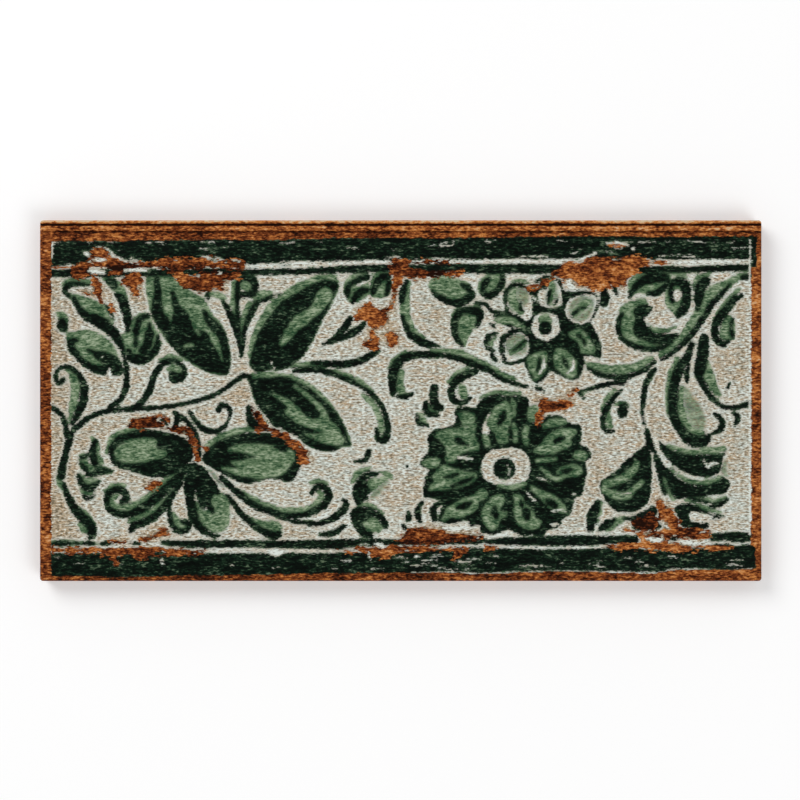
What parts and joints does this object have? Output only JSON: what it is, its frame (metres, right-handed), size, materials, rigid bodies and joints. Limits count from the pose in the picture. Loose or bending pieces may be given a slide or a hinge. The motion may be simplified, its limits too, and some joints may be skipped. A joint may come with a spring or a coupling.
{
  "type": "stair riser tile",
  "caption": "Rectangular stair riser tile of fired clay, with a raised painted glaze field inside a bare clay margin and keying grooves along its back.",
  "frame": {"origin": "middle of the back, in the plane of the ribs that the tile lies on", "axes": "+X along the tile's length, +Y to the edge that is uppermost on the stair, +Z out of the glazed face"},
  "size_m": [0.28, 0.14, 0.01],
  "materials": {
    "glazed_clay": "red fired clay, its front a chipped satin glaze painted in greens on a stone white ground"
  },
  "bodies": {
    "root": {"riser_tile": "glazed_clay"}
  },
  "joints": []
}
